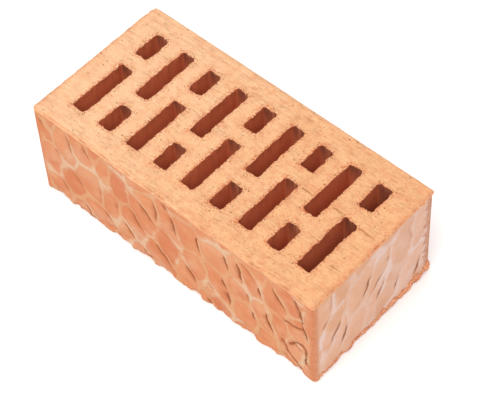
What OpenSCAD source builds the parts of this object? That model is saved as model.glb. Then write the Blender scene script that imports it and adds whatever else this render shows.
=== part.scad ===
// Perforated clay facing brick, extruded through a die and wire-cut to height.
// Origin: centre of the lower bed face. +X along the length, +Y across the width, +Z up.
// The front face (-Y) is the one beside the long slots of the odd columns.

/* [Body] */
// Length of the brick, between its two header faces
brick_length = 250; // [200:1:300]
// Width of the brick, between its two stretcher faces
brick_width = 120; // [100:1:150]
// Height of the brick, between its two wire-cut bed faces
brick_height = 88; // [50:1:140]
// Radius of the four upright arrises, which the corners of the die leave
arris_radius = 3; // [1.5:0.5:5]
// Radius of the edges around both bed faces, which the cutting wire leaves
bed_edge_radius = 1; // [0.4:0.1:1.4]

/* [Perforations] */
// Number of columns of slots along the length, with one long and one short slot in each
slot_columns = 9; // [3:1:9]
// Width of every slot, measured along the brick
slot_width = 10.8; // [6:0.2:13]
// Length of the short slots, measured across the brick
short_slot = 21.5; // [14:0.5:26]
// Radius in the four corners of every slot
slot_corner = 2; // [1:0.25:3]
// Wall between a header face and the nearest column of slots
header_shell = 20.4; // [14:0.2:28]
// Wall between a stretcher face and the nearest slots
stretcher_shell = 19; // [12:0.5:22]
// Web between the long and the short slot of one column
middle_web = 13.5; // [8:0.5:16]

/* [Finish] */
// Colour of the fired clay
clay_colour = "sandybrown"; // [sandybrown, peru, indianred, wheat]

/* [Hidden] */
$fn = 48;
// The long slot takes the width that the shells, the web and the short slot leave
long_slot = brick_width - 2 * stretcher_shell - middle_web - short_slot;
// Distance between the centres of neighbouring columns
column_pitch = (brick_length - 2 * header_shell - slot_width) / (slot_columns - 1);
// Distance from the brick's middle to the outer end of a slot
slot_reach = brick_width / 2 - stretcher_shell;
// How far a cutting tool runs past the faces that it cuts through
overcut = 1;

// Rectangle centred on the origin, with round corners made of true arcs
module rounded_rectangle(size, radius) {
    square([size.x - 2 * radius, size.y], center = true);
    square([size.x, size.y - 2 * radius], center = true);
    for (side = [-1, 1], end = [-1, 1])
        translate([side * (size.x / 2 - radius), end * (size.y / 2 - radius)])
            circle(r = radius);
}

// Bar of clay as it leaves the die, with its four upright arrises
module extruded_bar() {
    linear_extrude(height = brick_height)
        rounded_rectangle([brick_length, brick_width], arris_radius);
}

// Rounded section of one bed edge, run along X or, turned by 90 degrees, along Y
module cut_section(width, run) {
    translate([0, 0, brick_height / 2])
        rotate([90, 0, 90])
            linear_extrude(height = run + 2 * overcut, center = true)
                rounded_rectangle([width, brick_height], bed_edge_radius);
}

// Body without its perforations: the bar, with the edges of both bed faces eased
module green_body() {
    intersection() {
        extruded_bar();
        cut_section(brick_width, brick_length);
        rotate([0, 0, 90])
            cut_section(brick_length, brick_width);
    }
}

// One slot through both bed faces. side is -1 where it starts at the front shell, 1 at the back
module slot(length, side) {
    translate([0, side * (slot_reach - length / 2), -overcut])
        linear_extrude(height = brick_height + 2 * overcut)
            rounded_rectangle([slot_width, length], slot_corner);
}

// All the slots. The long slot changes sides from one column to the next
module perforations() {
    for (column = [0 : slot_columns - 1]) {
        long_side = column % 2 == 0 ? -1 : 1;
        translate([(column - (slot_columns - 1) / 2) * column_pitch, 0, 0]) {
            slot(long_slot, long_side);
            slot(short_slot, -long_side);
        }
    }
}

module brick() {
    color(clay_colour)
        difference() {
            green_body();
            perforations();
        }
}

brick();
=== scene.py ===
"""Fired clay facing brick with staggered slots, bark-textured faces and wire-cut beds, on a pale floor."""
import math

import bpy
from mathutils import Matrix, Vector


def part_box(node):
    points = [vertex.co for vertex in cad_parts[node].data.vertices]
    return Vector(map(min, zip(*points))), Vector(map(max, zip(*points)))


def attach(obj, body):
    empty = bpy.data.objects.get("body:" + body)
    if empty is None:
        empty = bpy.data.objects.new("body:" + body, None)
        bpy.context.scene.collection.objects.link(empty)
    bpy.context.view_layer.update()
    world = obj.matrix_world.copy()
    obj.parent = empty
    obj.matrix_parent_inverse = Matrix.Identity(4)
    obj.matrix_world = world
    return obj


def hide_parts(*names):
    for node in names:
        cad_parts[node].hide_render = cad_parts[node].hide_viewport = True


bl_info = {
    "name": "Perforated Clay Brick",
    "version": (1, 0, 0),
    "blender": (4, 5, 0),
    "location": "View3D > Sidebar > Brickyard",
    "description": "Makes a slotted facing brick of fired clay with a bark texture, and its studio stage",
    "category": "Add Mesh",
}

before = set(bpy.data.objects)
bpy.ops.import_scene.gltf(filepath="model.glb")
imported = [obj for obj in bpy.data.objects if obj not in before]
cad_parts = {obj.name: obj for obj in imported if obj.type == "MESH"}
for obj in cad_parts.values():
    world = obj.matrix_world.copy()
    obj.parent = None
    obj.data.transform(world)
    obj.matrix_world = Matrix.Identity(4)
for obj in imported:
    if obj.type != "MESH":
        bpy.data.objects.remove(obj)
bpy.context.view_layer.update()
LOW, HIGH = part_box("brick")

MM = 0.001
# Tears in the upper bed, in millimetres: start and end along the brick, row across it and half the width
TEARS = [
    (105.0, 124.0, 5.0, 1.1), (82.0, 97.0, 7.0, 1.0), (57.0, 73.0, 6.0, 1.0), (110.0, 123.0, -28.0, 0.7),
]
# Cracks near the right end of the long face, in millimetres: start and end along the brick and in height
CRACKS = [
    (96.5, 24.5, 104.0, 12.0), (104.0, 12.0, 113.5, 4.0), (103.0, 25.5, 108.5, 32.5),
    (108.5, 32.5, 114.0, 36.0), (114.0, 36.0, 117.0, 31.0), (117.0, 31.0, 116.5, 15.0),
    (108.5, 79.0, 112.5, 70.0), (112.5, 70.0, 114.5, 61.0), (99.0, 48.5, 107.0, 51.0),
    (107.0, 51.0, 115.0, 54.0),
]
# Share of the bar's triangles that is kept. Its flat places need few
KEPT_SHARE = 0.28
# How far from the long face's part of the bark pattern a header's part is taken, in millimetres
HEADER_APART = 731.0
# How far a cell leans over for each millimetre of its height, on the long face and on a header
LONG_FACE_LEAN = 0.22
HEADER_LEAN = -0.32
# A crease lies this far from the crest of its vein, and ends this far before the vein does, in millimetres
CREASE_OFFSET = 2.6
BARE_END = 1.2
# An upright face that is deeper in the brick than this, in millimetres, is the wall of a slot
SKIN = 10.0
# Edges that turn by more than this stay sharp
SHARP_ANGLE = math.radians(50)

# Kinds of nodes, some with one setting and its value
MATH = "ShaderNodeMath operation "
PLUS = MATH + "ADD"
MINUS = MATH + "SUBTRACT"
TIMES = MATH + "MULTIPLY"
TIMES_PLUS = MATH + "MULTIPLY_ADD"
OVER = MATH + "DIVIDE"
REST_OF = MATH + "MODULO"
POWER = MATH + "POWER"
LEAST = MATH + "MINIMUM"
MOST = MATH + "MAXIMUM"
BELOW = MATH + "LESS_THAN"
ABOVE = MATH + "GREATER_THAN"
SIZE_OF = MATH + "ABSOLUTE"
SIGN_OF = MATH + "SIGN"
ROUND = MATH + "ROUND"
ROUND_UP = MATH + "CEIL"
VECTOR = "ShaderNodeVectorMath operation "
V_PLUS = VECTOR + "ADD"
V_MINUS = VECTOR + "SUBTRACT"
V_TIMES = VECTOR + "MULTIPLY"
V_SCALE = VECTOR + "SCALE"
V_DOT = VECTOR + "DOT_PRODUCT"
V_LENGTH = VECTOR + "LENGTH"
V_APART = VECTOR + "DISTANCE"
V_UNIT = VECTOR + "NORMALIZE"
V_SIZE_OF = VECTOR + "ABSOLUTE"
SPLIT = "ShaderNodeSeparateXYZ"
COMBINE = "ShaderNodeCombineXYZ"
EASE = "ShaderNodeMapRange interpolation_type SMOOTHSTEP"
MIX = "ShaderNodeMix"
NOISE = "ShaderNodeTexNoise"
VORONOI = "ShaderNodeTexVoronoi"
POSITION = "GeometryNodeInputPosition"
MOVE = "GeometryNodeSetPosition"
MATERIAL = "GeometryNodeSetMaterial"
SMOOTH = "GeometryNodeSetShadeSmooth"


# ---------------------------------------------------------------- node trees

def socket_of(sockets, key):
    """Finds a node's socket by its number, its identifier or its name."""
    if isinstance(key, int):
        return sockets[key]
    return next(socket for socket in sockets if key in (socket.identifier, socket.name))


def add(tree, kind, *wires, out=0, **settings):
    """Adds one node with its settings and links. Returns an output, several for a tuple, or the node.

    The links are given in the order of the node's inputs, or as one dictionary by their names."""
    kind, *setting = kind.split()
    made = tree.nodes.new(kind)
    if setting:
        setattr(made, *setting)
    for name, value in settings.items():
        setattr(made, name, value)
    by_name = wires and isinstance(wires[0], dict)
    for key, value in wires[0].items() if by_name else enumerate(wires):
        socket = socket_of(made.inputs, key)
        if isinstance(value, bpy.types.NodeSocket):
            tree.links.new(value, socket)
        else:
            socket.default_value = value
    if isinstance(out, tuple):
        return [socket_of(made.outputs, key) for key in out]
    return made if out is None else socket_of(made.outputs, out)


def linear(code, alpha=1.0):
    """Turns an sRGB hex colour into the linear colour that a shader takes."""
    channels = [int(code[place:place + 2], 16) / 255 for place in (1, 3, 5)]
    curve = [c / 12.92 if c <= 0.04045 else ((c + 0.055) / 1.055) ** 2.4 for c in channels]
    return (*curve, alpha)


def where_all(tree, *masks):
    """Multiplies masks, so that the outcome is high only where all of them are."""
    met, *others = masks
    for mask in others:
        met = add(tree, TIMES, met, mask)
    return met


def raised(tree, height, *layers):
    """Builds a height up from layers, each a mask and how far it raises what it covers."""
    for mask, rise in layers:
        height = add(tree, TIMES_PLUS, mask, rise, height)
    return height


def per_mm(size):
    """How many grains of that size, in millimetres, lie in a millimetre. Two digits are enough for clay."""
    return float(f"{1 / size:.2g}")


def lumpy(place, size, detail, roughness=0.5):
    """Inputs of a noise whose lumps are of that size in millimetres."""
    return {"Vector": place, "Scale": per_mm(size), "Detail": detail, "Roughness": roughness}


def streaked(tree, place, sizes, detail, roughness=0.5):
    """Noise drawn out to streaks, with their sizes in millimetres along x, y and z."""
    squeezed = add(tree, V_TIMES, place, tuple(per_mm(size) for size in sizes))
    return add(tree, NOISE, lumpy(squeezed, 1, detail, roughness))


def shaken(tree, noise, reach):
    """Shift in any direction, of up to about half of that reach in millimetres, that follows a noise."""
    shift = add(tree, V_MINUS, add(tree, NOISE, noise, out="Color"), (0.5, 0.5, 0.5))
    return add(tree, V_SCALE, {0: shift, "Scale": reach})


def inside_by(tree, value, half):
    """How far a coordinate is inside the face that stands that half of a side from the middle."""
    return add(tree, MINUS, half, add(tree, SIZE_OF, value))


def bed_gaps(tree, z, height):
    """Distance in millimetres to the upper bed, and to the nearer one of both beds."""
    top_gap = add(tree, MINUS, height, z)
    return top_gap, add(tree, LEAST, top_gap, z)


# ---------------------------------------------------------------- relief shared by shape and colour

def face_places(tree, place, sizes):
    """Finds what face a place in millimetres is nearest to, and where it is on that face."""
    x, y, z = add(tree, SPLIT, place, out=(0, 1, 2))
    from_header = inside_by(tree, x, sizes["half_length"])
    from_stretcher = inside_by(tree, y, sizes["half_width"])
    on_header = add(tree, BELOW, from_header, from_stretcher)
    end = add(tree, SIGN_OF, x)
    apart = add(tree, TIMES_PLUS, end, HEADER_APART, y)
    along = add(tree, MIX, {"Factor_Float": on_header, "A_Float": x, "B_Float": apart})
    from_arris = add(tree, MOST, from_header, from_stretcher)
    inside = add(tree, LEAST, from_header, from_stretcher)
    behind = add(tree, ABOVE, y, 0.0)
    on_back = add(tree, TIMES, behind, add(tree, MINUS, 1.0, on_header))
    on_front = add(tree, MINUS, 1.0, add(tree, PLUS, on_back, on_header))
    top_gap, bed_gap = bed_gaps(tree, z, sizes["height"])
    return {"x": x, "y": y, "z": z, "on_header": on_header, "on_back": on_back, "on_front": on_front,
            "end": end, "along": along, "from_header": from_header, "from_arris": from_arris,
            "inside": inside, "top_gap": top_gap, "bed_gap": bed_gap}


def raw_strip(tree, at):
    """Ragged strip of bare clay that the rollers miss. Returns the burr at a header's foot, and all of it.

    It is narrow on the long face, wide at the foot of a header, and runs up the rear arris of a header."""
    spot = add(tree, COMBINE, at["along"], 0.0, 0.0)
    wander = add(tree, NOISE, lumpy(spot, 7.7, 4, 0.65))
    foot = add(tree, EASE, at["y"], -25.0, 58.0, 4.4, 10.4)
    foot = add(tree, MIX, {"Factor_Float": at["on_header"], "A_Float": 0.4, "B_Float": foot})
    foot = add(tree, TIMES_PLUS, add(tree, MINUS, wander, 0.5), 17.0, foot)
    at_foot = add(tree, EASE, add(tree, MINUS, at["z"], foot), -0.4, 0.7, 1.0, 0.0)
    rise = add(tree, COMBINE, 0.0, at["z"], 0.0)
    wander = add(tree, NOISE, lumpy(rise, 6.2, 3))
    beside = add(tree, TIMES, add(tree, MINUS, wander, 0.08), 20.0)
    beside = add(tree, EASE, add(tree, MINUS, at["from_arris"], beside), -0.4, 0.7, 1.0, 0.0)
    beside = where_all(tree, beside, add(tree, ABOVE, at["y"], 0.0), at["on_header"])
    return add(tree, TIMES, at_foot, at["on_header"]), add(tree, MOST, at_foot, beside)


def crack_distance(tree, flat):
    """Distance in millimetres from a place on the long face to the nearest crack, along its jagged line."""
    jags = add(tree, NOISE, lumpy(flat, 2.5, 3), out="Color")
    jags = add(tree, V_MINUS, jags, (0.5, 0.5, 0.5))
    jags = add(tree, V_TIMES, jags, (3.0, 3.0, 0.0))
    spot = add(tree, V_PLUS, flat, jags)
    away = None
    for start_along, start_up, end_along, end_up in CRACKS:
        line = Vector((end_along - start_along, end_up - start_up, 0.0))
        gone = add(tree, V_MINUS, spot, (start_along, start_up, 0.0))
        share = add(tree, V_DOT, gone, line / line.length_squared, out="Value")
        share = add(tree, PLUS, share, 0.0, use_clamp=True)
        foot = add(tree, V_SCALE, {0: line, "Scale": share})
        apart = add(tree, V_APART, gone, foot, out="Value")
        away = apart if away is None else add(tree, LEAST, away, apart)
    return away


def border_end(tree, layout, nearest, middle, sideways, side, reach):
    """How far the border of two cells runs to one side of its middle before a third cell cuts it off."""
    stride = add(tree, TIMES, reach, side)
    ahead = add(tree, V_SCALE, {0: sideways, "Scale": stride})
    ahead = add(tree, V_PLUS, middle, ahead)
    closest, third = add(tree, VORONOI, {**layout, "Vector": ahead}, out=("Distance", "Position"),
                         voronoi_dimensions="2D", feature="F1")
    own = add(tree, V_APART, ahead, nearest, out="Value")
    to_third = add(tree, V_MINUS, third, middle)
    to_own = add(tree, V_MINUS, nearest, middle)
    excess = add(tree, MINUS, add(tree, V_DOT, to_third, to_third, out="Value"),
                 add(tree, V_DOT, to_own, to_own, out="Value"))
    gain = add(tree, V_DOT, to_third, sideways, out="Value")
    gain = add(tree, MOST, add(tree, TIMES, gain, 2.0 * side), 0.05)
    cut = add(tree, LEAST, add(tree, OVER, excess, gain), reach)
    free = add(tree, BELOW, add(tree, MINUS, own, closest), 0.001)
    return add(tree, MIX, {"Factor_Float": free, "A_Float": cut, "B_Float": reach})


def bark(tree, at, sizes):
    """Bark pattern that textured rollers press into a side face, as heights and masks in millimetres."""
    # Cells lean, and their borders drift by a few millimetres and are ragged
    header_lean = add(tree, TIMES, at["end"], HEADER_LEAN)
    lean = add(tree, MIX,
               {"Factor_Float": at["on_header"], "A_Float": LONG_FACE_LEAN, "B_Float": header_lean})
    flat = add(tree, COMBINE, at["along"], at["z"], 0.0)
    drift = shaken(tree, lumpy(flat, 20, 1), 10.0)
    shiver = shaken(tree, lumpy(flat, 6.25, 2), 2.4)
    warped = add(tree, V_PLUS, add(tree, V_PLUS, flat, drift), shiver)
    along, up, _ = add(tree, SPLIT, warped, out=(0, 1, 2))
    leant = add(tree, TIMES_PLUS, up, lean, along)
    growth = add(tree, TIMES_PLUS, at["on_header"], sizes["header_growth"], 1.0)
    stretch = add(tree, TIMES_PLUS, at["on_header"], sizes["header_stretch"], 1.0)
    cell_width = add(tree, TIMES, growth, sizes["cell_width"])
    cell_height = add(tree, TIMES, stretch, sizes["cell_height"])
    cell = add(tree, COMBINE, add(tree, OVER, leant, cell_width), add(tree, OVER, up, cell_height), 0.0)
    # A border lies half-way between the middles of the two nearest cells
    layout = {"Vector": cell, "Scale": 1.0, "Randomness": 0.95}
    close, tone, nearest = add(tree, VORONOI, layout, out=("Distance", "Color", "Position"),
                               voronoi_dimensions="2D", feature="F1")
    second = add(tree, VORONOI, layout, out="Position", voronoi_dimensions="2D", feature="F2")
    blunt = add(tree, VORONOI, {**layout, "Smoothness": 0.6}, out="Distance", voronoi_dimensions="2D",
                feature="SMOOTH_F1")
    both = add(tree, V_PLUS, nearest, second)
    middle = add(tree, V_SCALE, {0: both, "Scale": 0.5})
    facing = add(tree, V_UNIT, add(tree, V_MINUS, second, nearest))
    face_x, face_y, _ = add(tree, SPLIT, facing, out=(0, 1, 2))
    gap = add(tree, V_MINUS, middle, cell)
    gap_x, gap_y, _ = add(tree, SPLIT, gap, out=(0, 1, 2))
    scaled = add(tree, V_DOT, gap, facing, out="Value")
    to_ridge = add(tree, TIMES, scaled, cell_width)
    # How far along its border a place is from the border's middle, in millimetres
    across = add(tree, TIMES, gap_x, face_y)
    run = add(tree, TIMES_PLUS, gap_y, face_x, add(tree, TIMES, across, -1.0))
    run = add(tree, TIMES, run, cell_height)
    reach = add(tree, OVER, sizes["crease_reach"], cell_height)
    sideways = add(tree, COMBINE, face_y, add(tree, TIMES, face_x, -1.0), 0.0)
    ends = [border_end(tree, layout, nearest, middle, sideways, side, reach) for side in (1.0, -1.0)]
    ends = [add(tree, TIMES, end, cell_height) for end in ends]
    centre = add(tree, TIMES, add(tree, MINUS, *ends), 0.5)
    half_run = add(tree, TIMES_PLUS, add(tree, PLUS, *ends), 0.5, -BARE_END)
    half_run = add(tree, MOST, half_run, 0.5)
    long_border = add(tree, EASE, half_run, 3.5, 6.0)
    # Both sides of a border draw the same chance, because it comes from the middles of both cells
    chance = add(tree, NOISE, {"Vector": both, "Scale": 2.37, "Detail": 0.0}, out="Color")
    ridge_chance, crease_chance, _ = add(tree, SPLIT, chance, out=(0, 1, 2))

    # Raised veins follow the borders and spread where three cells meet
    fuzz = add(tree, NOISE, lumpy(flat, 1.82, 4, 0.7))
    fuzz = add(tree, TIMES, add(tree, MINUS, fuzz, 0.5), 0.08)
    breadth = add(tree, NOISE, lumpy(flat, 14.3, 1))
    breadth = add(tree, TIMES, add(tree, MINUS, breadth, 0.5), 0.1)
    swell = add(tree, PLUS, add(tree, MINUS, close, blunt), breadth)
    ridge = add(tree, EASE, swell, 0.006, 0.055)
    strength = add(tree, EASE, ridge_chance, 0.3, 0.6, 0.6, 1.0)
    strength = add(tree, TIMES, strength, add(tree, TIMES_PLUS, at["on_header"], -0.3, 1.0))
    ridge = add(tree, TIMES, ridge, strength)
    # A crease is a spindle beside a vein, on the right-hand border of a cell
    length_share = add(tree, OVER, add(tree, MINUS, run, centre), half_run)
    taper = add(tree, MINUS, 1.0, add(tree, TIMES, length_share, length_share))
    taper = add(tree, MOST, taper, 0.0)
    from_line = add(tree, SIZE_OF, add(tree, MINUS, to_ridge, CREASE_OFFSET))
    half_gape = add(tree, TIMES, taper, sizes["crease_width"])
    gape = add(tree, OVER, add(tree, MINUS, half_gape, from_line), sizes["crease_width"])
    dip = add(tree, MINUS, taper, add(tree, OVER, from_line, 5.0))
    right_hand = add(tree, EASE, face_x, 0.5, 0.7)
    mirror = add(tree, TIMES_PLUS, at["on_header"], -2.0, 1.0)
    upward = add(tree, TIMES, face_y, mirror)
    right_hand = add(tree, TIMES, right_hand, add(tree, EASE, upward, -0.4, -0.15))
    power = add(tree, EASE, at["x"], -110.0, 60.0, 0.5, 1.0)
    rarity = add(tree, TIMES_PLUS, at["on_header"], 0.12, crease_chance)
    rare = add(tree, EASE, rarity, 0.15, 0.28)
    fainter = add(tree, TIMES_PLUS, at["on_header"], -0.05, 1.0)
    power = where_all(tree, power, rare, long_border, right_hand, fainter)
    crease = add(tree, TIMES, add(tree, EASE, gape, 0.0, 0.75), power)
    dip = where_all(tree, add(tree, EASE, dip, 0.0, 1.0), power, add(tree, EASE, to_ridge, 0.4, 2.4))

    # A loose flake and a few cracks beside the right-hand arris of the long face
    away = crack_distance(tree, flat)
    split = add(tree, TIMES, add(tree, EASE, away, 0.3, 1.1, 1.0, 0.0), at["on_front"])
    crease = add(tree, MOST, crease, split)
    sunken = add(tree, TIMES, add(tree, EASE, away, 0.5, 3.0, 0.8, 0.0), at["on_front"])
    dip = add(tree, MOST, dip, sunken)

    # Each cell is a low dome that falls away to the right, and everything is level at its border
    fall = add(tree, SPLIT, add(tree, V_MINUS, cell, nearest))
    dome = add(tree, TIMES_PLUS, fall, -1.3, 0.65)
    dome = add(tree, TIMES, dome, add(tree, EASE, to_ridge, 0.3, 5.5))
    waves = add(tree, NOISE, lumpy(flat, 33, 1))
    height = raised(tree, dome, (waves, 2.0), (ridge, sizes["ridge_height"]), (dip, -0.5), (crease, -0.2))
    # The texture ends before the arrises, and fades towards the upper bed
    fade = add(tree, EASE, at["from_arris"], 2.0, 7.0)
    burr, raw = raw_strip(tree, at)
    textured = where_all(tree, fade, add(tree, EASE, at["top_gap"], 0.0, 6.0, 0.2, 1.0),
                         add(tree, MINUS, 1.0, raw), add(tree, MINUS, 1.0, at["on_back"]))
    return {"height": height, "strength": strength, "crease": crease, "dip": dip, "tone": tone,
            "flat": flat, "swell": add(tree, PLUS, swell, fuzz), "textured": textured, "raw": raw,
            "burr": burr}


def slot_distance(tree, x, y, sizes):
    """Distance in millimetres from a place on a bed face to the mouth of the nearest slot."""
    first = add(tree, MINUS, x, sizes["first_column"])
    column = add(tree, ROUND, add(tree, OVER, first, sizes["pitch"]))
    column = add(tree, MOST, column, 0.0)
    column = add(tree, LEAST, column, sizes["last_column"])
    offset = add(tree, TIMES, column, sizes["pitch"])
    offset = add(tree, MINUS, first, offset)
    beyond_x = add(tree, MINUS, add(tree, SIZE_OF, offset), sizes["slot_width"] / 2)
    odd = add(tree, REST_OF, column, 2.0)
    mirror = add(tree, TIMES_PLUS, odd, -2.0, 1.0)
    turned = add(tree, TIMES, y, mirror)
    beyond = []
    for length, side in ((sizes["long_slot"], -1), (sizes["short_slot"], 1)):
        centre = side * (sizes["slot_reach"] - length / 2)
        off = add(tree, SIZE_OF, add(tree, MINUS, turned, centre))
        beyond.append(add(tree, MINUS, off, length / 2))
    beyond_y = add(tree, LEAST, *beyond)
    corner = add(tree, COMBINE, add(tree, MOST, beyond_x, 0.0), add(tree, MOST, beyond_y, 0.0), 0.0)
    away = add(tree, V_LENGTH, corner, out="Value")
    return away, offset


# ---------------------------------------------------------------- shape

def group_input(tree, name, kind, value=None):
    """Adds one named input to a geometry tree and returns its identifier."""
    socket = tree.interface.new_socket(name=name, in_out="INPUT", socket_type=kind)
    if value is not None:
        socket.default_value = value
    return socket.identifier


def rounded(tree, place, half_x, half_y, radius):
    """Draws the square corners of a plan in to arcs of that radius. Places away from the corners stay."""
    x, y, z = add(tree, SPLIT, place, out=(0, 1, 2))
    pulled = []
    for value, half in ((x, half_x), (y, half_y)):
        limit = add(tree, MINUS, half, radius)
        back = add(tree, TIMES, limit, -1.0)
        held = add(tree, MOST, add(tree, LEAST, value, limit), back)
        pulled.append((held, add(tree, MINUS, value, held)))
    (held_x, out_x), (held_y, out_y) = pulled
    longest = add(tree, MOST, add(tree, SIZE_OF, out_x), add(tree, SIZE_OF, out_y))
    reach = add(tree, V_LENGTH, add(tree, COMBINE, out_x, out_y, 0.0), out="Value")
    share = add(tree, OVER, longest, reach)
    new_x = add(tree, TIMES_PLUS, out_x, share, held_x)
    new_y = add(tree, TIMES_PLUS, out_y, share, held_y)
    return add(tree, COMBINE, new_x, new_y, z)


def body_of_clay(tree, given, sizes):
    """Closed bar of clay in millimetres, with round arrises, bark on three sides and wire-cut beds."""
    counts = []
    for name in ("Length", "Width", "Height"):
        counts.append(add(tree, ROUND_UP, add(tree, OVER, given[name], given["Mesh Step"])))
    block = add(tree, "GeometryNodeMeshCube",
                {"Size": add(tree, COMBINE, given["Length"], given["Width"], given["Height"]),
                 "Vertices X": counts[0], "Vertices Y": counts[1], "Vertices Z": counts[2]})
    place = add(tree, POSITION)
    at = face_places(tree, place, sizes)
    lifted = add(tree, V_PLUS, place, add(tree, COMBINE, 0.0, 0.0, sizes["half_height"]))
    worn = add(tree, TIMES, add(tree, BELOW, at["x"], 0.0), add(tree, ABOVE, at["y"], 0.0))
    radius = add(tree, TIMES_PLUS, worn, given["Worn Corner"], given["Arris Radius"])
    eased = rounded(tree, lifted, sizes["half_length"], sizes["half_width"], radius)
    block = add(tree, MOVE, {"Geometry": block, "Position": eased})

    # Side faces sink in by the relief, which is measured down from its datum
    pattern = bark(tree, at, sizes)
    sunk = add(tree, MINUS, given["Relief Datum"], pattern["height"])
    sunk = add(tree, MOST, sunk, -0.3)
    sunk = add(tree, TIMES, sunk, pattern["textured"])
    # The burr and the other bare clay are lumpy
    lumps = add(tree, NOISE, lumpy(place, 9, 2))
    lumps = add(tree, TIMES, add(tree, EASE, lumps, 0.35, 0.65, -0.8, 0.6), pattern["burr"])
    bits = add(tree, NOISE, lumpy(place, 3.3, 3))
    bits = add(tree, TIMES, add(tree, EASE, bits, 0.35, 0.65, 0.1, 0.8), pattern["raw"])
    lumps = add(tree, PLUS, lumps, bits)
    sunk = add(tree, PLUS, sunk, lumps)
    ripple = add(tree, NOISE, lumpy(pattern["flat"], 20, 2))
    sunk = add(tree, TIMES_PLUS, ripple, 0.8, sunk)
    # The lower edge of the long face is lumpy, because its clay was still soft under the rollers
    dents = add(tree, NOISE, lumpy(pattern["flat"], 11.8, 1))
    dents = add(tree, TIMES, add(tree, EASE, dents, 0.4, 0.6),
                add(tree, EASE, at["z"], 3.0, 16.0, 1.5, 0.0))
    in_front = add(tree, TIMES, add(tree, EASE, at["from_arris"], 1.0, 9.0), at["on_front"])
    sunk = add(tree, TIMES_PLUS, dents, in_front, sunk)
    sunk = add(tree, MINUS, sunk, 0.3)
    near_side = add(tree, EASE, at["inside"], 0.0, given["Relief Run-out"], 1.0, 0.0)
    sunk = add(tree, TIMES, sunk, near_side)

    # The rear arris of a header stands back too, between the lip of the upper bed and the burr
    at_header = add(tree, EASE, at["from_header"], 0.0, given["Relief Run-out"], 1.0, 0.0)
    back = where_all(tree, at_header, add(tree, EASE, at["y"], 51.0, 58.0),
                     add(tree, EASE, at["z"], 7.0, 11.0), add(tree, EASE, at["top_gap"], 1.5, 3.5),
                     add(tree, TIMES, at["end"], -1.6))

    # Crumbled strip around both bed faces, where the wire tore the edge
    at_bed = add(tree, EASE, at["bed_gap"], 0.0, 1.8, 1.0, 0.0)
    at_side = add(tree, EASE, at["inside"], 0.0, 1.8, 1.0, 0.0)
    crumbs = add(tree, NOISE, lumpy(place, 7, 3, 0.6))
    crumbs = add(tree, EASE, crumbs, 0.4, 0.68, 0.5, given["Edge Crumbling"])
    torn = where_all(tree, at_bed, at_side, crumbs)
    sunk = add(tree, MOST, add(tree, PLUS, sunk, torn), -0.8)

    # Which way the nearest side face looks
    side_x = add(tree, TIMES, at["end"], at["on_header"])
    side_y = add(tree, TIMES, add(tree, SIGN_OF, at["y"]), add(tree, MINUS, 1.0, at["on_header"]))
    outward = add(tree, COMBINE, side_x, side_y, 0.0)

    # Bed faces are a little hollow and wavy, and always inside the height of the bar
    swell = streaked(tree, place, (56, 9, 1), 3, 0.6)
    swell = add(tree, EASE, swell, 0.3, 0.7, 0.0, given["Bed Waves"])
    on_bed = add(tree, EASE, at["bed_gap"], 0.0, 0.9, 1.0, 0.0)
    dip = add(tree, PLUS, add(tree, TIMES, swell, on_bed), torn)
    upper = add(tree, ABOVE, at["z"], sizes["half_height"])
    downward = add(tree, TIMES_PLUS, upper, -2.0, 1.0)
    shift_z = add(tree, TIMES, dip, downward)
    offset = add(tree, V_SCALE, {0: outward, "Scale": add(tree, TIMES, sunk, -1.0)})
    offset = add(tree, V_PLUS, offset, add(tree, COMBINE, back, 0.0, shift_z))
    return add(tree, MOVE, {"Geometry": block, "Offset": offset})


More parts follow.
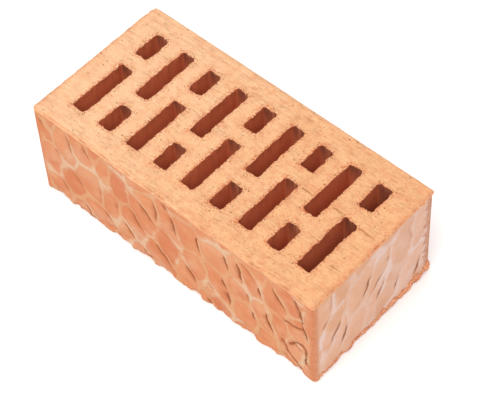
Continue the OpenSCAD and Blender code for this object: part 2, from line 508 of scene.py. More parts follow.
def slot_cores(tree, given, sizes):
    """Cores that leave the slots, a long and a short one in each column. The wire tears their mouths."""
    columns = add(tree, "GeometryNodeMeshLine",
                  {"Count": given["Columns"],
                   "Start Location": add(tree, COMBINE, sizes["first_column"], 0.0, sizes["half_height"]),
                   "Offset": add(tree, COMBINE, sizes["pitch"], 0.0, 0.0)})
    index = add(tree, "GeometryNodeInputIndex")
    odd = add(tree, REST_OF, index, 2.0)
    side = add(tree, TIMES_PLUS, odd, 2.0, -1.0)
    tall = add(tree, PLUS, given["Height"], 2.0)
    joined = add(tree, "GeometryNodeJoinGeometry")
    for name, sign in (("Long Slot", 1.0), ("Short Slot", -1.0)):
        length = given[name]
        counts = []
        for size in (given["Slot Width"], length):
            counts.append(add(tree, ROUND_UP, add(tree, OVER, size, given["Mouth Step"])))
        core = add(tree, "GeometryNodeMeshCube",
                   {"Size": add(tree, COMBINE, given["Slot Width"], length, tall),
                    "Vertices X": counts[0], "Vertices Y": counts[1], "Vertices Z": given["Wall Rows"]})
        half_x = add(tree, TIMES, given["Slot Width"], 0.5)
        half_y = add(tree, TIMES, length, 0.5)
        place = add(tree, POSITION)
        turned = rounded(tree, place, half_x, half_y, given["Slot Corner"])
        # Rows of vertices crowd towards both mouths
        x, y, z = add(tree, SPLIT, turned, out=(0, 1, 2))
        half_tall = add(tree, TIMES, tall, 0.5)
        share = add(tree, OVER, z, half_tall)
        depth = add(tree, MINUS, 1.0, add(tree, SIZE_OF, share))
        depth = add(tree, POWER, depth, 3.0)
        far = add(tree, TIMES, add(tree, SIGN_OF, share), add(tree, MINUS, 1.0, depth))
        level = add(tree, TIMES, far, half_tall)
        core = add(tree, MOVE, {"Geometry": core, "Position": add(tree, COMBINE, x, y, level)})
        middle = add(tree, MINUS, sizes["slot_reach"], half_y)
        shift = add(tree, TIMES, add(tree, TIMES, middle, side), sign)
        spots = add(tree, MOVE, {"Geometry": columns, "Offset": add(tree, COMBINE, 0.0, shift, 0.0)})
        row = add(tree, "GeometryNodeInstanceOnPoints", {"Points": spots, "Instance": core})
        tree.links.new(row, joined.node.inputs[0])
    cores = add(tree, "GeometryNodeRealizeInstances", joined)

    # Walls wander a little from top to bottom, and crumble at the mouths
    place = add(tree, POSITION)
    z = add(tree, SPLIT, place, out=2)
    _, gap = bed_gaps(tree, z, given["Height"])
    tear = add(tree, EASE, gap, 0.0, 2.2, 1.0, 0.0)
    streaks = add(tree, V_TIMES, place, (1.0, 1.0, 0.05))
    coarse = shaken(tree, lumpy(streaks, 9, 1), given["Slot Wander"])
    nicks = shaken(tree, lumpy(place, 4.5, 1), 0.6)
    fine = shaken(tree, lumpy(place, 2, 5, 0.85), 1.0)
    amount = add(tree, TIMES, tear, given["Mouth Roughness"])
    fine = add(tree, V_PLUS, fine, nicks)
    fine = add(tree, V_SCALE, {0: fine, "Scale": amount})
    wider = add(tree, TIMES, tear, given["Mouth Opening"])
    wider = add(tree, V_SCALE, {0: add(tree, "GeometryNodeInputNormal"), "Scale": wider})
    offset = add(tree, V_PLUS, add(tree, V_PLUS, coarse, fine), wider)
    offset = add(tree, V_TIMES, offset, (1.0, 1.0, 0.0))
    return add(tree, MOVE, {"Geometry": cores, "Offset": offset})


def geometry_tree(name, values, materials=()):
    """Geometry tree with an input for each value and material. Returns it, its inputs and their keys."""
    tree = bpy.data.node_groups.new(name, "GeometryNodeTree")
    tree.interface.new_socket(name="Geometry", in_out="INPUT", socket_type="NodeSocketGeometry")
    names = {}
    for key, value in values.items():
        kind = "NodeSocketInt" if isinstance(value, int) else "NodeSocketFloat"
        names[key] = group_input(tree, key, kind, value)
    for key in materials:
        names[key] = group_input(tree, key, "NodeSocketMaterial")
    tree.interface.new_socket(name="Geometry", in_out="OUTPUT", socket_type="NodeSocketGeometry")
    entry = add(tree, "NodeGroupInput", out=None)
    given = {socket.name: socket for socket in entry.outputs if socket.name}
    return tree, given, names


def bar_tree(values, sizes):
    """Geometry tree of the extruded, rolled and cut bar, without its slots."""
    tree, given, names = geometry_tree("clay_bar", values)
    add(tree, "NodeGroupOutput", body_of_clay(tree, given, sizes), out=None)
    return tree, names


def slot_tree(values, sizes, materials):
    """Geometry tree that perforates the bar, brings it to metres and gives each surface its clay."""
    tree, given, names = geometry_tree("slots", values, materials)
    brick = add(tree, "GeometryNodeMeshBoolean",
                {"Mesh 1": given["Geometry"], "Mesh 2": slot_cores(tree, given, sizes)},
                operation="DIFFERENCE", solver="MANIFOLD")
    metres = add(tree, "GeometryNodeTransform", {"Geometry": brick, "Scale": (MM, MM, MM)})
    smooth = add(tree, SMOOTH, {"Geometry": metres, "Shade Smooth": True}, domain="FACE")
    sharp = add(tree, ABOVE, add(tree, "GeometryNodeInputMeshEdgeAngle"), SHARP_ANGLE)
    smooth = add(tree, SMOOTH, {"Geometry": smooth, "Selection": sharp, "Shade Smooth": False},
                 domain="EDGE")

    # Faces that look up or down are wire-cut, upright ones well inside the outline are slot walls
    normal = add(tree, "GeometryNodeInputNormal")
    lean = add(tree, SIZE_OF, add(tree, SPLIT, normal, out=2))
    level = add(tree, ABOVE, lean, 0.7)
    place = add(tree, POSITION)
    far = add(tree, V_SIZE_OF, place)
    far_x, far_y, _ = add(tree, SPLIT, far, out=(0, 1, 2))
    inner = add(tree, TIMES, add(tree, BELOW, far_x, (sizes["half_length"] - SKIN) * MM),
                add(tree, BELOW, far_y, (sizes["half_width"] - SKIN) * MM))
    shown = add(tree, "GeometryNodeRealizeInstances", smooth)
    for name, where in (("Rolled Clay", True), ("Die Clay", inner), ("Wire Clay", level)):
        shown = add(tree, MATERIAL, {"Geometry": shown, "Selection": where, "Material": given[name]})
    add(tree, "NodeGroupOutput", shown, out=None)
    return tree, names


# ---------------------------------------------------------------- materials

def clay_material(name):
    """Empty material with an output, a shader for fired clay, and places in millimetres to draw on."""
    material = bpy.data.materials.new(name)
    material.use_nodes = True
    tree = material.node_tree
    tree.nodes.clear()
    shader = add(tree, "ShaderNodeBsdfPrincipled", {"IOR": 1.45, "Specular IOR Level": 0.25})
    add(tree, "ShaderNodeOutputMaterial", shader, out=None)
    place = add(tree, "ShaderNodeTexCoord", out="Object")
    place = add(tree, V_SCALE, {0: place, "Scale": 1 / MM})
    return material, tree, shader.node, place


def coat(tree, factor, *colours):
    """Coats the first colour, an output or a hex code, with the second one where the factor is high."""
    below, above = [linear(colour) if isinstance(colour, str) else colour for colour in colours]
    return add(tree, MIX, {"Factor_Float": factor, "A_Color": below, "B_Color": above},
               out="Result_Color", data_type="RGBA")


def finish_clay(tree, shader, colour, roughness, height, depth):
    """Feeds a clay shader with its colour, its roughness and a bump of that depth in millimetres."""
    bump = add(tree, "ShaderNodeBump", {"Height": height, "Distance": depth * MM, "Strength": 1.0})
    tree.links.new(colour, shader.inputs["Base Color"])
    tree.links.new(roughness, shader.inputs["Roughness"])
    tree.links.new(bump, shader.inputs["Normal"])


def wire_cut_clay(colours, sizes):
    """Clay cut by a wire: open, sandy face with fine drag lines, tears, pits and crumbled mouths."""
    # A taut wire drags the grain open, so this clay is matt, sandy and pale, with lines along the brick
    material, tree, shader, place = clay_material("wire_cut_fired_clay")
    x, y, _ = add(tree, SPLIT, place, out=(0, 1, 2))
    flat = add(tree, COMBINE, x, y, 0.0)
    away, offset = slot_distance(tree, x, y, sizes)

    # Broad changes of tone, a few centimetres wide, and a paler left end that is painted light
    patches = add(tree, NOISE, lumpy(flat, 28.6, 3))
    # The left end is painted paler, as light falling there
    patches = add(tree, TIMES_PLUS, x, -1.3 / sizes["length"], patches)
    patches = add(tree, EASE, patches, 0.0, 1.0)
    colour = coat(tree, patches, colours.bed_dark, colours.bed_light)

    # Combed bands two or three millimetres wide, where the wire pulled the clay
    outer = add(tree, SIZE_OF, y)
    outermost = add(tree, EASE, outer, 40.0, 50.0)
    bands = streaked(tree, flat, (50, 2.86, 1), 2)
    most = add(tree, TIMES_PLUS, outermost, 0.1, 0.22)
    combed = add(tree, EASE, bands, 0.4, 0.7, 0.0, most)
    colour = coat(tree, combed, colour, colours.bed_band)

    # Warm mottling of six or seven millimetres
    mottle = add(tree, NOISE, lumpy(flat, 6.7, 3, 0.65))
    mottle = add(tree, EASE, mottle, 0.42, 0.68, 0.0, add(tree, EASE, x, -120.0, 60.0, 0.35, 0.7))
    colour = coat(tree, mottle, colour, colours.bed_band)

    # Sandy speckle, rougher towards the right end. Real grit is finer than its one and a half millimetres
    sand = add(tree, V_TIMES, flat, (0.7, 1.0, 0.0))
    sand = add(tree, NOISE, lumpy(sand, 1.43, 5, 0.8))
    rough = add(tree, EASE, x, -120.0, 60.0, 0.35, 0.8)
    speckle = add(tree, TIMES, add(tree, EASE, sand, 0.52, 0.68), rough)
    colour = coat(tree, speckle, colour, colours.bed_speck)
    glint = add(tree, EASE, sand, 0.46, 0.3, 0.0, 0.5)
    colour = coat(tree, glint, colour, colours.bed_light)

    # Drag lines under a millimetre wide and a few centimetres long, run by the wire along the brick
    sway = add(tree, NOISE, lumpy(flat, 25, 1))
    swayed = add(tree, TIMES_PLUS, sway, 5.0, y)
    lines = streaked(tree, add(tree, COMBINE, x, swayed, 0.0), (10, 0.77, 1), 3, 0.6)
    mask = add(tree, NOISE, lumpy(flat, 16.7, 1))
    mask = add(tree, PLUS, mask, add(tree, EASE, outer, 30.0, 52.0, 0.0, 0.09))
    mask = add(tree, EASE, mask, 0.42, 0.62)
    drag = add(tree, TIMES, add(tree, EASE, lines, 0.55, 0.68), mask)
    soft = add(tree, TIMES, drag, 0.32)
    colour = coat(tree, soft, colour, colours.drag_line)

    # Long tears that start at a slot's corner and run along the brick
    wobble = add(tree, NOISE, lumpy(flat, 4, 2))
    wobbled = add(tree, TIMES_PLUS, wobble, 2.4, y)
    tear = None
    for start, end, row, half_width in TEARS:
        near = add(tree, SIZE_OF, add(tree, MINUS, wobbled, row + 1.2))
        near = add(tree, EASE, near, 0.3 * half_width, half_width, 1.0, 0.0)
        begun = add(tree, EASE, x, start, start + 2.0)
        near = where_all(tree, begun, add(tree, EASE, x, end - 12.0, end, 1.0, 0.0), near)
        tear = near if tear is None else add(tree, MOST, tear, near)
    tear = add(tree, TIMES, tear, add(tree, EASE, sand, 0.25, 0.5, 0.45, 1.0))
    colour = coat(tree, add(tree, TIMES, tear, 0.6), colour, colours.tear)

    # Orange fringe around the slots, wider on their -x side
    frayed = add(tree, NOISE, lumpy(flat, 2, 4, 0.7))
    frayed = add(tree, PLUS, frayed, add(tree, EASE, away, 0.0, 4.0, 0.06, -0.08))
    minus_x_side = add(tree, EASE, offset, -3.0, 3.0, 1.0, 0.4)
    fringe = where_all(tree, minus_x_side, add(tree, EASE, away, 2.5, 5.5, 1.0, 0.0),
                       add(tree, EASE, frayed, 0.48, 0.62, 0.0, 0.8))
    from_header = inside_by(tree, x, sizes["half_length"])
    rim = add(tree, TIMES, add(tree, EASE, from_header, 0.5, 5.5, 0.6, 0.0),
              add(tree, EASE, frayed, 0.3, 0.5))
    fringe = add(tree, MOST, fringe, rim)
    colour = coat(tree, fringe, colour, colours.fringe)

    # Rust-coloured grains, most of them beside the mouths
    rust = add(tree, NOISE, lumpy(flat, 1.25, 3, 0.6))
    rust = add(tree, PLUS, rust, add(tree, EASE, away, 0.0, 3.5, 0.05, 0.0))
    rust = add(tree, EASE, rust, 0.56, 0.66)
    rust = add(tree, TIMES, rust, add(tree, EASE, away, 0.0, 6.0, 0.95, 0.3))
    colour = coat(tree, rust, colour, colours.rust)

    # Pits of half a millimetre, most of them beside the mouths, darkened with painted shade
    cells = add(tree, V_TIMES, flat, (per_mm(2.8), per_mm(2), 0.0))
    spot, chance = add(tree, VORONOI, {"Vector": cells, "Scale": 1.0, "Randomness": 1.0},
                       out=("Distance", "Color"), voronoi_dimensions="2D", feature="F1")
    chance, size, _ = add(tree, SPLIT, chance, out=(0, 1, 2))
    crowd = add(tree, EASE, away, 0.0, 5.0, 0.5, 0.07)
    flock = add(tree, NOISE, lumpy(flat, 11.1, 1))
    crowd = add(tree, TIMES, crowd, add(tree, EASE, flock, 0.4, 0.62, 0.15, 1.2))
    dotted = add(tree, BELOW, chance, crowd)
    size = add(tree, POWER, size, 2.0)
    radius = add(tree, TIMES_PLUS, size, 0.2, 0.08)
    hollow = add(tree, MINUS, 1.0, add(tree, OVER, spot, radius))
    hollow = add(tree, TIMES, hollow, dotted, use_clamp=True)
    pit = add(tree, EASE, hollow, 0.0, 0.5)
    # Pits are real small hollows in the bump, and their dark colour is painted shade
    colour = coat(tree, add(tree, TIMES, pit, 0.75), colour, colours.pit)

    relief = add(tree, TIMES, sand, -0.5)
    relief = raised(tree, relief, (drag, -0.35), (bands, -1.2), (tear, -0.7), (pit, -0.8))
    finish_clay(tree, shader, colour, add(tree, EASE, sand, 0.2, 0.8, 0.82, 0.95), relief, 0.6)
    return material


def rolled_clay(colours, sizes):
    """Clay pressed by textured rollers: matt cells with pale raised veins and creases beside them, darkened
    by painted shade.
    """
    # Rollers press this clay shut, so it is smoother and warmer, and lime dries white on what stands out
    material, tree, shader, place = clay_material("bark_rolled_fired_clay")
    at = face_places(tree, place, sizes)
    pattern = bark(tree, at, sizes)
    tone = add(tree, SPLIT, pattern["tone"])
    patches = add(tree, NOISE, lumpy(pattern["flat"], 16.7, 3))
    tone = add(tree, MIX, {"Factor_Float": at["on_back"], "A_Float": tone, "B_Float": 0.5})
    even = add(tree, TIMES_PLUS, patches, 0.3, 0.35)
    calm = add(tree, MIX, {"Factor_Float": at["on_back"], "A_Float": patches, "B_Float": even})
    mixed = add(tree, TIMES_PLUS, tone, 0.5, calm)
    mixed = add(tree, EASE, mixed, 0.45, 1.05)
    warm = coat(tree, mixed, colours.cell_dark, colours.cell_light)
    pale = coat(tree, mixed, colours.header_dark, colours.header_light)
    pale = coat(tree, add(tree, EASE, at["y"], -50.0, 55.0, 0.0, 0.22), pale, colours.header_bloom)
    colour = coat(tree, at["on_header"], warm, pale)

    # Painted shade darkens the hollow beside a crease, and the clay is paler on a vein
    dip = add(tree, TIMES, pattern["dip"], pattern["textured"])
    shade, vein, haze, dark = (
        coat(tree, at["on_header"], getattr(colours, name), getattr(colours, "header_" + name))
        for name in ("hollow", "vein", "bloom", "crease"))
    # The hollow colour here is painted shade
    colour = coat(tree, add(tree, TIMES, dip, 0.75), colour, shade)
    ridge = add(tree, TIMES, add(tree, EASE, pattern["swell"], 0.01, 0.042), pattern["strength"])
    broken = add(tree, NOISE, lumpy(pattern["flat"], 9, 2))
    ridge = where_all(tree, ridge, add(tree, EASE, broken, 0.36, 0.58, 0.72, 1.0), pattern["textured"])
    grain = add(tree, NOISE, lumpy(place, 1.11, 4, 0.65))
    worn = add(tree, EASE, grain, 0.3, 0.6, 0.4, 0.9)
    colour = coat(tree, add(tree, TIMES, ridge, worn), colour, vein)

    # Lime bloom, whitish, widens the veins where a patch of it meets them
    bloom = add(tree, NOISE, lumpy(pattern["flat"], 33, 4, 0.6))
    bloom = add(tree, EASE, bloom, 0.48, 0.58)
    wide = add(tree, EASE, pattern["swell"], -0.002, 0.05, 0.14, 0.7)
    bloom = where_all(tree, bloom, wide, pattern["textured"])
    colour = coat(tree, bloom, colour, haze)
    # Painted shade darkens each crease and crack, along the groove that the relief cuts
    crease = add(tree, TIMES, pattern["crease"], pattern["textured"])
    colour = coat(tree, add(tree, TIMES, crease, 0.95), colour, dark)

    # Raw torn clay along the arrises, both bed edges and the foot of a header
    fray = add(tree, NOISE, lumpy(pattern["flat"], 3.3, 4, 0.65))
    fray = add(tree, TIMES_PLUS, fray, 6.0, -3.0)
    edge = add(tree, PLUS, at["bed_gap"], fray)
    torn = add(tree, EASE, edge, 0.9, 2.2, 0.9, 0.0)
    arris = add(tree, TIMES_PLUS, fray, 0.6, at["from_arris"])
    arris = add(tree, EASE, arris, 1.0, 6.0, 0.9, 0.0)
    raw = add(tree, MOST, add(tree, MOST, torn, arris), pattern["raw"])
    crumbs = add(tree, EASE, grain, 0.42, 0.62)
    bare = coat(tree, crumbs, colours.raw_edge, colours.raw_pale)
    # The burr's colours are painted lighter, as light that lifts the shade beside the floor, over real
    # crumbs
    burr = coat(tree, crumbs, colours.burr_dark, colours.burr_light)
    scarred = coat(tree, crumbs, colours.scar_dark, colours.scar_light)
    rear = add(tree, TIMES, add(tree, EASE, at["y"], 30.0, 45.0), at["on_header"])
    bare = coat(tree, rear, bare, scarred)
    # Painted shade darkens small crevices in the burr
    crevice = add(tree, NOISE, lumpy(place, 3.6, 3, 0.6))
    crevice = add(tree, EASE, crevice, 0.5, 0.62, 0.0, 0.6)
    burr = coat(tree, crevice, burr, colours.burr_shade)
    bare = coat(tree, pattern["burr"], bare, burr)
    colour = coat(tree, raw, colour, bare)

    # A painted shadow runs along the top of the burr, which stands proud
    seam_shadow = add(tree, TIMES, add(tree, MINUS, 1.0, pattern["burr"]), pattern["burr"])
    colour = coat(tree, add(tree, TIMES, seam_shadow, 2.6), colour, colours.burr_shade)

    # The lip under the upper bed is the same sandy clay as the bed, one to five millimetres deep
    reach = add(tree, NOISE, lumpy(pattern["flat"], 20, 4, 0.6))
    reach = add(tree, TIMES_PLUS, reach, 9.0, -2.2)
    lip = add(tree, MINUS, at["top_gap"], reach)
    lip = add(tree, EASE, lip, -2.0, 1.2, 0.9, 0.0)
    sandy = coat(tree, crumbs, colours.lip_dark, colours.lip_light)
    colour = coat(tree, lip, colour, sandy)

    # The plain back keeps upright lines from the die
    die = streaked(tree, pattern["flat"], (2.2, 83, 1), 3)
    lines = add(tree, TIMES, add(tree, EASE, die, 0.4, 0.65), at["on_back"])
    colour = coat(tree, add(tree, TIMES, lines, 0.22), colour, colours.hollow)
    colour = coat(tree, add(tree, EASE, grain, 0.55, 0.75, 0.0, 0.35), colour, colours.hollow)

    relief = add(tree, TIMES, grain, 0.28)
    relief = raised(tree, relief, (ridge, 0.2), (crease, -0.5), (lines, -0.15))
    finish_clay(tree, shader, colour, add(tree, EASE, grain, 0.2, 0.8, 0.78, 0.92), relief, 1.0)
    return material


def die_clay(colours, sizes):
    """Clay smoothed by the cores of the die: dark red walls, partly painted shade, with fine upright
    streaks.
    """
    # The cores of the die iron this clay, so it is dense, red and faintly scored from top to bottom
    # Its dark red is partly painted shade inside the slots
    material, tree, shader, place = clay_material("die_smoothed_fired_clay")
    streaks = streaked(tree, place, (3.3, 3.3, 67), 2)
    share = add(tree, EASE, streaks, 0.25, 0.75)
    colour = coat(tree, share, colours.wall_dark, colours.wall_light)
    # End walls, picked by which way they face, take their own tones as painted light and shade, over real
    # scoring from the die
    facing = add(tree, "ShaderNodeNewGeometry", out="Normal")
    facing = add(tree, SIZE_OF, add(tree, SPLIT, facing, out=1))
    at_end = add(tree, EASE, facing, 0.5, 0.8)
    grooves = add(tree, EASE, streaked(tree, place, (2.2, 2.2, 50), 2), 0.35, 0.65)
    scored = coat(tree, grooves, colours.end_dark, colours.end_light)
    x, y, z = add(tree, SPLIT, place, out=(0, 1, 2))
    _, offset = slot_distance(tree, x, y, sizes)
    # Painted shade darkens each end wall towards its -x side
    scored = coat(tree, add(tree, EASE, offset, -5.0, 2.0, 0.8, 0.0), scored, colours.end_shade)
    colour = coat(tree, at_end, colour, scored)
    _, depth = bed_gaps(tree, z, sizes["height"])
    # Painted shade darkens the long walls just below the mouth, against the light that falls there
    top = add(tree, EASE, depth, 0.0, 9.0, 0.45, 0.0)
    top = add(tree, TIMES, top, add(tree, MINUS, 1.0, at_end))
    colour = coat(tree, top, colour, colours.wall_top_shade)
    # Painted light brightens the walls deep below the mouth, where little light reaches
    deep = add(tree, EASE, depth, 0.0, 24.0)
    colour = coat(tree, deep, colour, colours.wall_deep_light)
    # Painted shade darkens the walls of the outermost column, most of all its end walls
    last = add(tree, EASE, x, 90.0, 98.0)
    last = add(tree, TIMES, last, add(tree, EASE, facing, 0.5, 0.8, 0.16, 0.6))
    colour = coat(tree, last, colour, colours.end_shade)
    grain = add(tree, NOISE, lumpy(place, 0.8, 3))
    relief = add(tree, TIMES_PLUS, streaks, 0.1, grain)
    finish_clay(tree, shader, colour, add(tree, EASE, grain, 0.2, 0.8, 0.75, 0.9), relief, 0.15)
    return material


# ---------------------------------------------------------------- add-on

def size_property(name, description, millimetres):
    """Property for one size of the brick."""
    return bpy.props.FloatProperty(name=name, description=description, default=millimetres * MM,
                                   unit="LENGTH")


def share_property(name, description, share):
    """Property for a share of another size."""
    return bpy.props.FloatProperty(name=name, description=description, default=share, subtype="FACTOR",
                                   min=0.0, soft_max=1.0)


def colour_property(name, description, code):
    """Property for one colour of the clay."""
    return bpy.props.StringProperty(name=name, description=description, default=code)


class BrickSizes(bpy.types.PropertyGroup):
    """Sizes of the brick. The overall ones come from the brick in model.glb."""
    arris_radius: size_property("Arris Radius", "Radius of the upright corners", 3.2)
    slot_columns: bpy.props.IntProperty(name="Slot Columns",
                                        description="Number of columns with one long and one short slot",
                                        default=9)
    slot_width: size_property("Slot Width", "Width of every slot, along the brick", 10.8)
    short_slot: size_property("Short Slot", "Length of the short slots, across the brick", 21.5)
    slot_corner: size_property("Slot Corner", "Radius in the corners of the slots", 2)
    header_shell: size_property("Header Shell", "Wall between a header and the first slots", 20.4)
    stretcher_shell: size_property("Stretcher Shell", "Wall between a long side and the slots", 19)
    middle_web: size_property("Middle Web", "Clay between the two slots of one column", 13.5)
    cell_width: size_property("Cell Width", "Usual width of a cell of the bark texture", 19)
    cell_height: size_property("Cell Height", "Usual height of a cell of the bark texture", 28)
    header_growth: share_property("Header Growth", "Share by which a header's cells are wider", 0.1)
    header_stretch: share_property("Header Stretch", "Share by which a header's cells are taller", 0.45)
    ridge_height: size_property("Ridge Height", "Height of a raised vein at its crest", 0.35)
    crease_width: size_property("Crease Half Width", "Half of the widest gape of a crease", 1.35)
    crease_reach: size_property("Crease Reach", "How far a crease may run from the middle of its border", 13)


class BrickColours(bpy.types.PropertyGroup):
    """Colours of the fired clay, as sRGB hex codes."""
    bed_light: colour_property("Bed Light", "Wire-cut clay where it is pale", "#DCB088")
    bed_dark: colour_property("Bed Dark", "Wire-cut clay where it is warm", "#D6A376")
    bed_band: colour_property("Bed Band", "Combed band of wire-cut clay", "#CC8A62")
    bed_speck: colour_property("Bed Speck", "Grain that shows in the open clay", "#BC7650")
    drag_line: colour_property("Drag Line", "Shade in a drag line", "#BC8056")
    tear: colour_property("Tear", "Shade in a long tear", "#A4602F")
    fringe: colour_property("Fringe", "Fringe of a slot's mouth", "#C26C44")
    rust: colour_property("Rust", "Rust-coloured grain in the open clay", "#9E4E2E")
    # Painted shade in a pit
    pit: colour_property("Pit", "Bottom of a pit", "#6C3420")
    cell_light: colour_property("Cell Light", "Pale cell of the long face", "#C7855D")
    cell_dark: colour_property("Cell Dark", "Warm cell of the long face", "#BD714B")
    hollow: colour_property("Hollow", "Shade beside a crease", "#A25E3A")
    # Painted shade in the groove of a crease
    crease: colour_property("Crease", "Bottom of a crease", "#8F4D2C")
    vein: colour_property("Vein", "Raised vein of the long face", "#C6976F")
    bloom: colour_property("Bloom", "Lime bloom of the long face", "#C8AA8E")
    header_light: colour_property("Header Light", "Pale cell of a header", "#D1A185")
    header_dark: colour_property("Header Dark", "Warm cell of a header", "#C99473")
    header_hollow: colour_property("Header Hollow", "Shade beside a crease of a header", "#AA7456")
    # Painted shade in the groove of a header's crease
    header_crease: colour_property("Header Crease", "Bottom of a crease of a header", "#8E5439")
    header_vein: colour_property("Header Vein", "Raised vein of a header", "#D2B6A8")
    header_bloom: colour_property("Header Bloom", "Lime bloom of a header", "#D2BAB2")
    raw_edge: colour_property("Raw Edge", "Torn clay on edges and arrises", "#B56D49")
    raw_pale: colour_property("Raw Pale", "Pale crumbs on torn clay", "#C2835E")
    # Burr colours are painted lighter against the shade beside the floor
    burr_dark: colour_property("Burr Dark", "Shade on the burr at the foot of a header", "#C4744C")
    burr_light: colour_property("Burr Light", "Crumbs on the burr at the foot of a header", "#EAAE88")
    scar_light: colour_property("Scar Light", "Pale crumbs beside the rear arris of a header", "#CFA18A")
    scar_dark: colour_property("Scar Dark", "Broken clay beside the rear arris of a header", "#B07A62")
    # Painted shade in the burr's crevices and along its top
    burr_shade: colour_property("Burr Crevice", "Crevice in the burr", "#A4562F")
    lip_light: colour_property("Lip Light", "Pale crumbs on the lip below the upper bed", "#DCA67E")
    lip_dark: colour_property("Lip Dark", "Lip below the upper bed", "#D0966A")
    # Slot wall and end wall colours are darker and redder than the outer clay, partly as painted shade
    wall_light: colour_property("Wall Light", "Pale streak in a slot", "#C76943")
    wall_dark: colour_property("Wall Dark", "Dark streak in a slot", "#BA5F3A")
    end_light: colour_property("End Light", "Pale streak on the end of a slot", "#A66246")
    end_dark: colour_property("End Dark", "Dark streak on the end of a slot", "#7E4630")
    end_shade: colour_property("End Shade", "Shaded corner of a slot", "#743A28")
    # Painted shade just below a mouth
    wall_top_shade: colour_property("Wall Top", "Wall just below the mouth", "#7A3220")
    # Painted light far below a mouth
    wall_deep_light: colour_property("Wall Deep", "Wall far below the mouth", "#E08058")


def measured(given):
    """Sizes in millimetres that the shape and the materials share."""
    length, width, height = [side / MM for side in HIGH - LOW]
    names = ("arris_radius", "slot_width", "short_slot", "slot_corner", "header_shell", "stretcher_shell",
             "middle_web", "cell_width", "cell_height", "ridge_height", "crease_width", "crease_reach")
    mm = {name: getattr(given, name) / MM for name in names}
    first = -length / 2 + mm["header_shell"] + mm["slot_width"] / 2
    return {
        **mm, "length": length, "width": width, "height": height, "header_growth": given.header_growth,
        "header_stretch": given.header_stretch,
        "half_length": length / 2, "half_width": width / 2, "half_height": height / 2,
        "long_slot": width - 2 * mm["stretcher_shell"] - mm["middle_web"] - mm["short_slot"],
        "slot_reach": width / 2 - mm["stretcher_shell"],
        "first_column": first, "pitch": -2 * first / (given.slot_columns - 1),
        "last_column": float(given.slot_columns - 1), "columns": given.slot_columns,
    }


def add_tree(made, values, tree, names):
    """Puts a geometry tree on an object and sets the tree's inputs."""
    modifier = made.modifiers.new(tree.name, "NODES")
    modifier.node_group = tree
    for name, value in values.items():
        modifier[names[name]] = value


class BRICKYARD_OT_brick(bpy.types.Operator):
    """Make the fired clay brick: bar, bark relief, slots and clay finishes"""
    bl_idname = "brickyard.brick"
    bl_label = "Clay Brick"

    def execute(self, context):
        colours = context.scene.brick_colours
        sizes = measured(context.scene.brick_sizes)
        materials = {
            "Wire Clay": wire_cut_clay(colours, sizes),
            "Rolled Clay": rolled_clay(colours, sizes),
            "Die Clay": die_clay(colours, sizes),
        }
        bar = {
            "Length": sizes["length"], "Width": sizes["width"], "Height": sizes["height"],
            "Arris Radius": sizes["arris_radius"], "Worn Corner": 1.8, "Mesh Step": 0.75,
            "Relief Datum": 1.9, "Relief Run-out": 9.0, "Edge Crumbling": 1.7, "Bed Waves": 0.35,
        }
        slots = {
            "Height": sizes["height"], "Columns": sizes["columns"], "Slot Width": sizes["slot_width"],
            "Long Slot": sizes["long_slot"], "Short Slot": sizes["short_slot"],
            "Slot Corner": sizes["slot_corner"], "Mouth Step": 0.6, "Wall Rows": 12, "Mouth Roughness": 5.2,
            "Mouth Opening": 0.35, "Slot Wander": 1.4,
        }
        mould = bpy.data.objects.new("brick_mould", bpy.data.meshes.new("brick_mould"))
        context.scene.collection.objects.link(mould)
        add_tree(mould, bar, *bar_tree(bar, sizes))
        mould.modifiers.new("thinning", "DECIMATE").ratio = KEPT_SHARE
        add_tree(mould, {**slots, **materials}, *slot_tree(slots, sizes, materials))
        graph = context.evaluated_depsgraph_get()
        mesh = bpy.data.meshes.new_from_object(mould.evaluated_get(graph), depsgraph=graph)
        bpy.data.objects.remove(mould)
        if not mesh.polygons:
            raise RuntimeError("the brick has no faces")
        mesh.materials.pop(index=0)
        mesh.name = "brick_body"
        brick = bpy.data.objects.new("brick_body", mesh)
        context.scene.collection.objects.link(brick)
        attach(brick, "root")
        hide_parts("brick")
        return {"FINISHED"}


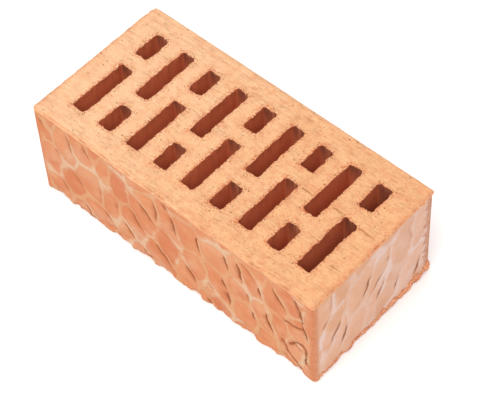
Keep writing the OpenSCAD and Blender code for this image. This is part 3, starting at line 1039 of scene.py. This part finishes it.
class BRICKYARD_OT_stage(bpy.types.Operator):
    """Set the studio stage: pale floor, soft lights, white surround and camera"""
    bl_idname = "brickyard.stage"
    bl_label = "Studio Stage"

    def execute(self, context):
        scene = context.scene
        scene.view_settings.view_transform = "Standard"
        world = bpy.data.worlds.new("studio_surround")
        world.use_nodes = True
        surround = world.node_tree.nodes["Background"]
        surround.inputs["Color"].default_value = (1.0, 1.0, 1.0, 1.0)
        surround.inputs["Strength"].default_value = 1.0
        scene.world = world

        floor_mesh = bpy.data.meshes.new("floor")
        half = 3.0  # metres
        floor_mesh.from_pydata([(-half, -half, 0), (half, -half, 0), (half, half, 0), (-half, half, 0)],
                               [], [(0, 1, 2, 3)])
        floor = bpy.data.objects.new("floor", floor_mesh)
        scene.collection.objects.link(floor)
        paint = bpy.data.materials.new("pale_floor_paint")
        paint.use_nodes = True
        shader = paint.node_tree.nodes["Principled BSDF"]
        shader.inputs["Base Color"].default_value = (0.93, 0.93, 0.93, 1.0)
        shader.inputs["Roughness"].default_value = 0.9
        floor_mesh.materials.append(paint)

        middle = (LOW + HIGH) / 2
        for name, azimuth, elevation, distance, size, power in (
                ("key_light", 25, 60, 1.6, 1.2, 15.0),
                ("fill_light", -50, 40, 1.8, 1.8, 5.0)):
            turn, rise = math.radians(azimuth), math.radians(elevation)
            away = Vector((math.sin(turn) * math.cos(rise), -math.cos(turn) * math.cos(rise),
                           math.sin(rise)))
            lamp = bpy.data.lights.new(name, "AREA")
            lamp.size = size
            lamp.energy = power
            holder = bpy.data.objects.new(name, lamp)
            holder.location = middle + away * distance
            holder.rotation_euler = away.to_track_quat("Z", "Y").to_euler()
            scene.collection.objects.link(holder)

        # The camera looks down on the arris between the rolled face and a header
        azimuth, elevation, roll = (math.radians(angle) for angle in (44.76, 53.24, -3.45))
        aside, lower, distance = 12.0 * MM, 8.0 * MM, 1248.9 * MM
        back = Vector((math.sin(azimuth) * math.cos(elevation), -math.cos(azimuth) * math.cos(elevation),
                       math.sin(elevation)))
        level = Vector((0, 0, 1)).cross(back).normalized()
        upright = back.cross(level)
        right = level * math.cos(roll) + upright * math.sin(roll)
        up = upright * math.cos(roll) - level * math.sin(roll)
        camera_data = bpy.data.cameras.new("camera")
        camera_data.sensor_width = 36.0
        camera_data.lens = 133.6
        camera = bpy.data.objects.new("camera", camera_data)
        spot = middle + right * aside - up * lower + back * distance
        turn = Matrix((right, up, back)).transposed().to_4x4()
        camera.matrix_world = Matrix.Translation(spot) @ turn
        scene.collection.objects.link(camera)
        scene.camera = camera
        return {"FINISHED"}


class BRICKYARD_PT_panel(bpy.types.Panel):
    """Lists the brick and its stage, with the sizes and colours to change"""
    bl_idname = "BRICKYARD_PT_panel"
    bl_label = "Perforated Clay Brick"
    bl_space_type = "VIEW_3D"
    bl_region_type = "UI"
    bl_category = "Brickyard"

    def draw(self, context):
        for group in (context.scene.brick_sizes, context.scene.brick_colours):
            for name in group.__annotations__:
                self.layout.prop(group, name)
        for operator in (BRICKYARD_OT_brick, BRICKYARD_OT_stage):
            self.layout.operator(operator.bl_idname)


CLASSES = (BrickSizes, BrickColours, BRICKYARD_OT_brick, BRICKYARD_OT_stage, BRICKYARD_PT_panel)


def register():
    for made in CLASSES:
        bpy.utils.register_class(made)
    bpy.types.Scene.brick_sizes = bpy.props.PointerProperty(type=BrickSizes)
    bpy.types.Scene.brick_colours = bpy.props.PointerProperty(type=BrickColours)


def unregister():
    del bpy.types.Scene.brick_colours
    del bpy.types.Scene.brick_sizes
    for made in reversed(CLASSES):
        bpy.utils.unregister_class(made)


def main():
    """Makes the stage and the brick."""
    register()
    bpy.ops.brickyard.stage()
    bpy.ops.brickyard.brick()


if __name__ == "__main__":
    main()
